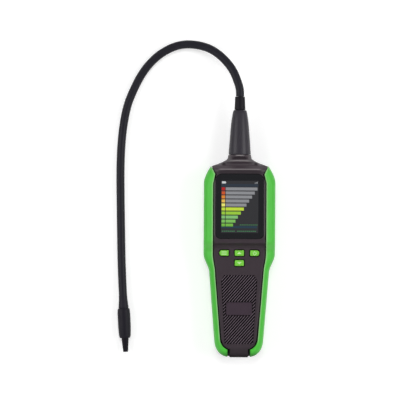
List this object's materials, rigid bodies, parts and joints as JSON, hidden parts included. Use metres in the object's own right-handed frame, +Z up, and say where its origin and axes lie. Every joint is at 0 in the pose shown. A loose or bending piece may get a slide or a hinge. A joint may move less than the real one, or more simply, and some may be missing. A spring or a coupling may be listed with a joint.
{
  "type": "refrigerant leak detector",
  "caption": "Handheld refrigerant leak detector with a screen, keys, soft side bumpers, ribbed grip and a gooseneck probe ending in a conical sensing nozzle.",
  "frame": {"origin": "on the surface that the detector lies on, under the middle of the handset without its gooseneck and sensing head", "axes": "+Y along the handset towards the neck, +Z up out of the screen, +X to the right of the keys"},
  "size_m": [0.1672, 0.3327, 0.0409],
  "materials": {
    "case_plastic": "fine matt texture",
    "bumper_green": "smooth satin",
    "key_green": "smooth satin",
    "neck_grey": "smooth satin",
    "gooseneck_black": "smooth coating",
    "head_black": "satin",
    "nozzle_black": "matt",
    "window_gloss": "clear over a dark border",
    "screen_glass": "display face",
    "pale_plastic": "moulded",
    "switch_black": "moulded",
    "board_green": "solder mask",
    "cell_wrap": null,
    "spring_steel": "plated",
    "pump_metal": "plated",
    "hose_clear": "milky"
  },
  "bodies": {
    "handset": {"front_cover": "case_plastic", "rear_cover": "case_plastic", "left_bumper": "bumper_green", "right_bumper": "bumper_green", "neck_sleeve": "neck_grey", "neck_ferrule": "gooseneck_black", "gooseneck": "gooseneck_black", "probe_boot": "gooseneck_black", "sensor_housing": "head_black", "sensor_socket": "switch_black", "sensor_element": "spring_steel", "tip_filter": "pale_plastic", "display_window": "window_gloss", "display_module": "screen_glass", "display_carrier": "pale_plastic", "main_board": "board_green", "left_switch": "switch_black", "centre_switch": "switch_black", "right_switch": "switch_black", "lower_switch": "switch_black", "buzzer": "switch_black", "air_pump": "pump_metal", "air_hose": "hose_clear", "left_cell": "cell_wrap", "right_cell": "cell_wrap", "left_spring": "spring_steel", "right_spring": "spring_steel", "bridge_plate": "spring_steel", "left_terminal": "spring_steel", "right_terminal": "spring_steel", "upper_left_screw": "spring_steel", "upper_right_screw": "spring_steel", "lower_left_screw": "spring_steel", "lower_right_screw": "spring_steel"},
    "left_key": {"left_key": "key_green"},
    "centre_key": {"centre_key": "key_green"},
    "right_key": {"right_key": "key_green"},
    "lower_key": {"lower_key": "key_green"},
    "battery_door": {"battery_door": "case_plastic"},
    "sensor_nozzle": {"sensor_nozzle": "nozzle_black"}
  },
  "joints": [
    {"name": "left_key_press", "type": "slide", "parent": "handset", "child": "left_key", "axis": [0, 0, -1], "range_m": [0, 0.0008], "stiffness_N_per_m": 250, "springref_m": -0.0005},
    {"name": "centre_key_press", "type": "slide", "parent": "handset", "child": "centre_key", "axis": [0, 0, -1], "range_m": [0, 0.0008], "stiffness_N_per_m": 250, "springref_m": -0.0005},
    {"name": "right_key_press", "type": "slide", "parent": "handset", "child": "right_key", "axis": [0, 0, -1], "range_m": [0, 0.0008], "stiffness_N_per_m": 250, "springref_m": -0.0005},
    {"name": "lower_key_press", "type": "slide", "parent": "handset", "child": "lower_key", "axis": [0, 0, -1], "range_m": [0, 0.0008], "stiffness_N_per_m": 250, "springref_m": -0.0005},
    {"name": "door_slide", "type": "slide", "parent": "handset", "child": "battery_door", "axis": [0, -1, 0], "range_m": [0, 0.075]},
    {"name": "nozzle_pull", "type": "slide", "parent": "handset", "child": "sensor_nozzle", "axis": [0.0541, -0.9985, 0], "range_m": [0, 0.015]}
  ]
}
